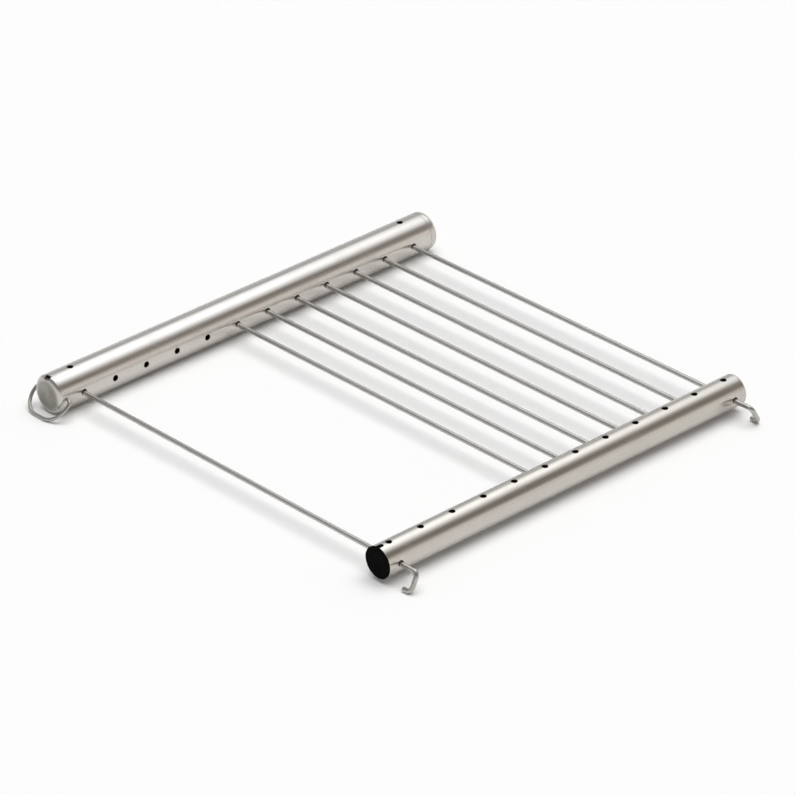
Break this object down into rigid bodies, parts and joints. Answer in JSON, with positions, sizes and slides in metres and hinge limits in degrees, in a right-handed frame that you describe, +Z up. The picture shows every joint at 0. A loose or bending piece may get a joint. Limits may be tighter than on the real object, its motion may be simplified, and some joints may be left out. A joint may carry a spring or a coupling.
{
  "type": "take-apart rod rack",
  "caption": "Low take-apart rack: parallel drilled steel tubes joined by loose round rods, the end rods bent into feet, a hinged carry ring, the thinner tube packing inside the thicker one.",
  "frame": {"origin": "on the floor, under the middle of the rack's outline", "axes": "+X along the rods from the rear (thicker) tube to the front tube, +Y along the tubes towards the capped ends, +Z up"},
  "size_m": [0.3294, 0.3116, 0.025],
  "materials": {
    "tube_steel": "satin-polished stainless tube",
    "cap_steel": "turned satin",
    "rod_steel": "drawn bright rod",
    "wire_steel": "drawn spring wire",
    "stopper_rubber": "matt black"
  },
  "bodies": {
    "rear_rail": {"outer_tube": "tube_steel", "outer_tube_end_cap": "cap_steel"},
    "front_rail": {"inner_tube": "tube_steel", "inner_tube_end_cap": "cap_steel"},
    "stopper": {"inner_tube_stopper": "stopper_rubber"},
    "packing_plug": {"outer_tube_packing_plug": "cap_steel"},
    "rod_06": {"rod_06": "rod_steel"},
    "rod_07": {"rod_07": "rod_steel"},
    "rod_08": {"rod_08": "rod_steel"},
    "rod_09": {"rod_09": "rod_steel"},
    "rod_10": {"rod_10": "rod_steel"},
    "rod_11": {"rod_11": "rod_steel"},
    "end_rod_left": {"end_rod_left": "rod_steel"},
    "end_rod_right": {"end_rod_right": "rod_steel"},
    "carry_ring": {"carry_ring": "wire_steel"}
  },
  "joints": [
    {"name": "front_rail_pull", "type": "slide", "parent": "rear_rail", "child": "front_rail", "axis": [1, 0, 0], "range_m": [-0.005, 0.025]},
    {"name": "rod_06_slide", "type": "slide", "parent": "rear_rail", "child": "rod_06", "axis": [1, 0, 0], "range_m": [-0.0165, 0.005]},
    {"name": "rod_07_slide", "type": "slide", "parent": "rear_rail", "child": "rod_07", "axis": [1, 0, 0], "range_m": [-0.0165, 0.005]},
    {"name": "rod_08_slide", "type": "slide", "parent": "rear_rail", "child": "rod_08", "axis": [1, 0, 0], "range_m": [-0.0165, 0.005]},
    {"name": "rod_09_slide", "type": "slide", "parent": "rear_rail", "child": "rod_09", "axis": [1, 0, 0], "range_m": [-0.0165, 0.005]},
    {"name": "rod_10_slide", "type": "slide", "parent": "rear_rail", "child": "rod_10", "axis": [1, 0, 0], "range_m": [-0.0165, 0.005]},
    {"name": "rod_11_slide", "type": "slide", "parent": "rear_rail", "child": "rod_11", "axis": [1, 0, 0], "range_m": [-0.0165, 0.005]},
    {"name": "end_rod_left_turn", "type": "hinge", "parent": "front_rail", "child": "end_rod_left", "pos_m": [0.13935, -0.12924, 0.01215], "axis": [-1, 0, 0], "range_deg": [-118, 62]},
    {"name": "end_rod_right_turn", "type": "hinge", "parent": "front_rail", "child": "end_rod_right", "pos_m": [0.13935, 0.13476, 0.01215], "axis": [1, 0, 0], "range_deg": [-118, 62]},
    {"name": "stopper_pull", "type": "slide", "parent": "front_rail", "child": "stopper", "axis": [0, -1, 0], "range_m": [0, 0.012]},
    {"name": "packing_plug_pull", "type": "slide", "parent": "rear_rail", "child": "packing_plug", "axis": [0, -1, 0], "range_m": [0, 0.0045]},
    {"name": "carry_ring_swing", "type": "hinge", "parent": "rear_rail", "child": "carry_ring", "pos_m": [-0.14765, -0.14204, 0.0125], "axis": [-1, 0, 0], "range_deg": [-83, 167]}
  ]
}
